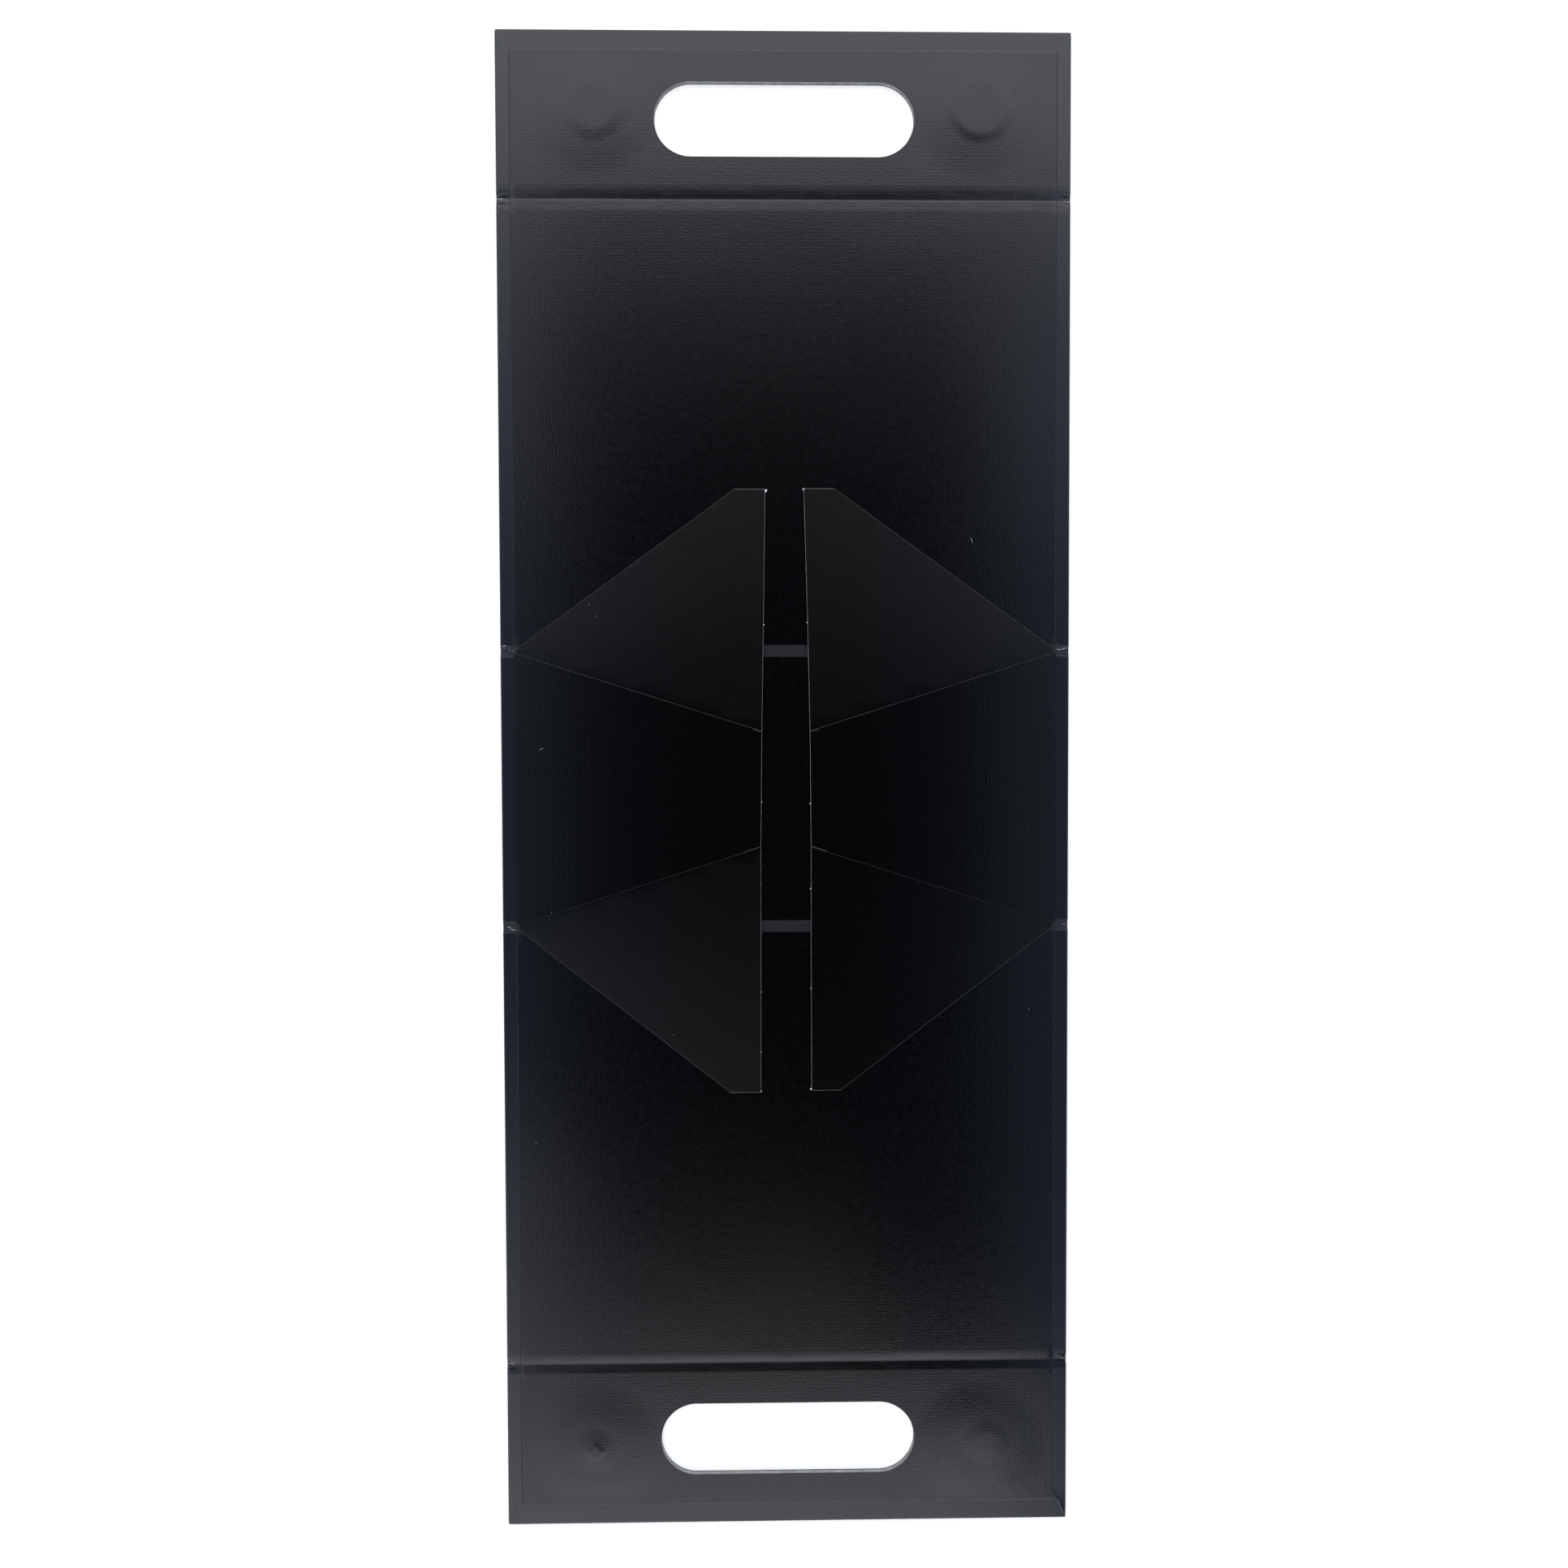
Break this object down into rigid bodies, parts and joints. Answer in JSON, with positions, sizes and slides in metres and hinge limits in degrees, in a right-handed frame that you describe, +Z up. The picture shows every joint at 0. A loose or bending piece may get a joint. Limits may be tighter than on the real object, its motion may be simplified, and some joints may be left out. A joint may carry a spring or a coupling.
{
  "type": "bottle shipping box",
  "caption": "Collapsible flat-pack carrier box for a bottle: wrapped rigid panels with paper hinges, hand holes, magnet closure and folding card end gussets, lying open and flat.",
  "frame": {"origin": "centre of the flat box, on its underside, under the middle of the base panel", "axes": "+X across the box, +Y along it towards handle A, +Z up, out of the inner face"},
  "size_m": [0.21, 0.552, 0.0039],
  "materials": {
    "greyboard": "matte",
    "wrap_paper": "matte",
    "liner_paper": "matte",
    "black_card": "satin",
    "nickel_magnet": "satin"
  },
  "bodies": {
    "base": {"base_board": "greyboard", "base_wrap": "wrap_paper", "base_liner": "liner_paper", "left_gusset_base_flap": "black_card", "right_gusset_base_flap": "black_card"},
    "wall_a": {"wall_a_board": "greyboard", "wall_a_wrap": "wrap_paper", "wall_a_liner": "liner_paper", "left_gusset_wall_flap_a": "black_card", "right_gusset_wall_flap_a": "black_card"},
    "handle_a": {"handle_a_board": "greyboard", "handle_a_wrap": "wrap_paper", "handle_a_liner": "liner_paper", "handle_a_magnet_left": "nickel_magnet", "handle_a_magnet_right": "nickel_magnet"},
    "wall_b": {"wall_b_board": "greyboard", "wall_b_wrap": "wrap_paper", "wall_b_liner": "liner_paper", "left_gusset_wall_flap_b": "black_card", "right_gusset_wall_flap_b": "black_card"},
    "handle_b": {"handle_b_board": "greyboard", "handle_b_wrap": "wrap_paper", "handle_b_liner": "liner_paper", "handle_b_magnet_left": "nickel_magnet", "handle_b_magnet_right": "nickel_magnet"},
    "left_end": {"left_gusset_end_panel": "black_card"},
    "left_wing_a": {"left_gusset_wing_a": "black_card"},
    "left_wing_b": {"left_gusset_wing_b": "black_card"},
    "right_end": {"right_gusset_end_panel": "black_card"},
    "right_wing_a": {"right_gusset_wing_a": "black_card"},
    "right_wing_b": {"right_gusset_wing_b": "black_card"}
  },
  "joints": [
    {"name": "wall_a_fold", "type": "hinge", "parent": "base", "child": "wall_a", "pos_m": [0, 0.051, 0.0018], "axis": [1, 0, 0], "range_deg": [0, 107.59]},
    {"name": "wall_b_fold", "type": "hinge", "parent": "base", "child": "wall_b", "pos_m": [0, -0.051, 0.0018], "axis": [-1, 0, 0], "range_deg": [0, 107.59]},
    {"name": "handle_a_fold", "type": "hinge", "parent": "wall_a", "child": "handle_a", "pos_m": [0, 0.215, 0.0002], "axis": [1, 0, 0], "range_deg": [-17.59, 0]},
    {"name": "handle_b_fold", "type": "hinge", "parent": "wall_b", "child": "handle_b", "pos_m": [0, -0.215, 0.0002], "axis": [-1, 0, 0], "range_deg": [-17.59, 0]},
    {"name": "left_end_fold", "type": "hinge", "parent": "base", "child": "left_end", "pos_m": [-0.0997, 0, 0.0034], "axis": [0, -1, 0], "range_deg": [0, 90]},
    {"name": "right_end_fold", "type": "hinge", "parent": "base", "child": "right_end", "pos_m": [0.0997, 0, 0.0034], "axis": [0, 1, 0], "range_deg": [0, 90]},
    {"name": "left_wing_a_fold", "type": "hinge", "parent": "wall_a", "child": "left_wing_a", "pos_m": [-0.0997, 0.051, 0.0034], "axis": [-0.8069, -0.5906, 0], "range_deg": [0, 180]},
    {"name": "left_wing_b_fold", "type": "hinge", "parent": "wall_b", "child": "left_wing_b", "pos_m": [-0.0997, -0.051, 0.0034], "axis": [0.8069, -0.5906, 0], "range_deg": [0, 180]},
    {"name": "right_wing_a_fold", "type": "hinge", "parent": "wall_a", "child": "right_wing_a", "pos_m": [0.0997, 0.051, 0.0034], "axis": [-0.8069, 0.5906, 0], "range_deg": [0, 180]},
    {"name": "right_wing_b_fold", "type": "hinge", "parent": "wall_b", "child": "right_wing_b", "pos_m": [0.0997, -0.051, 0.0034], "axis": [0.8069, 0.5906, 0], "range_deg": [0, 180]}
  ],
  "couplings": [
    {"joint": "wall_b_fold", "follows": "wall_a_fold", "ratio": 1},
    {"joint": "handle_a_fold", "follows": "wall_a_fold", "ratio": -0.16353},
    {"joint": "handle_b_fold", "follows": "wall_a_fold", "ratio": -0.16353},
    {"joint": "left_end_fold", "follows": "wall_a_fold", "ratio": 0.83647},
    {"joint": "right_end_fold", "follows": "wall_a_fold", "ratio": 0.83647},
    {"joint": "left_wing_a_fold", "follows": "wall_a_fold", "ratio": 1.6729},
    {"joint": "left_wing_b_fold", "follows": "wall_a_fold", "ratio": 1.6729},
    {"joint": "right_wing_a_fold", "follows": "wall_a_fold", "ratio": 1.6729},
    {"joint": "right_wing_b_fold", "follows": "wall_a_fold", "ratio": 1.6729}
  ]
}
